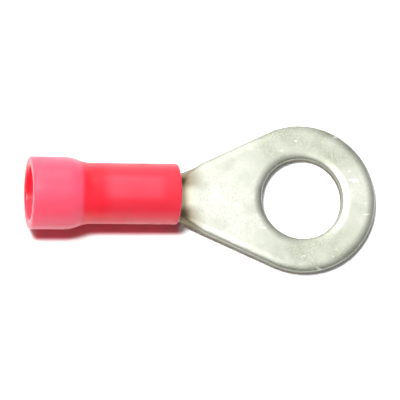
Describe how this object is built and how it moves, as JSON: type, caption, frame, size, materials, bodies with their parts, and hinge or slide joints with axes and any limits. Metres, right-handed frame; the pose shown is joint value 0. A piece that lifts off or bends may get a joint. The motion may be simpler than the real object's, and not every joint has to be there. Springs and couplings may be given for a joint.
{
  "type": "insulated ring terminal",
  "caption": "Ring terminal for a stud, stamped from sheet metal with a rolled wire barrel, in a soft plastic sleeve with a flared entry for the wire.",
  "frame": {"origin": "centre of the stud hole on the underside of the tongue", "axes": "+Z along the stud hole's axis out of the upper face, +X from the barrel to the tip of the ring"},
  "size_m": [0.023, 0.0096, 0.0047],
  "materials": {
    "tinned_metal": "satin tin plating on copper sheet, with bare brownish copper showing a little on the sheared edges",
    "red_plastic": "soft translucent red plastic, smooth and slightly glossy, paler where it is thin"
  },
  "bodies": {
    "root": {"terminal": "tinned_metal", "sleeve": "red_plastic"}
  },
  "joints": []
}
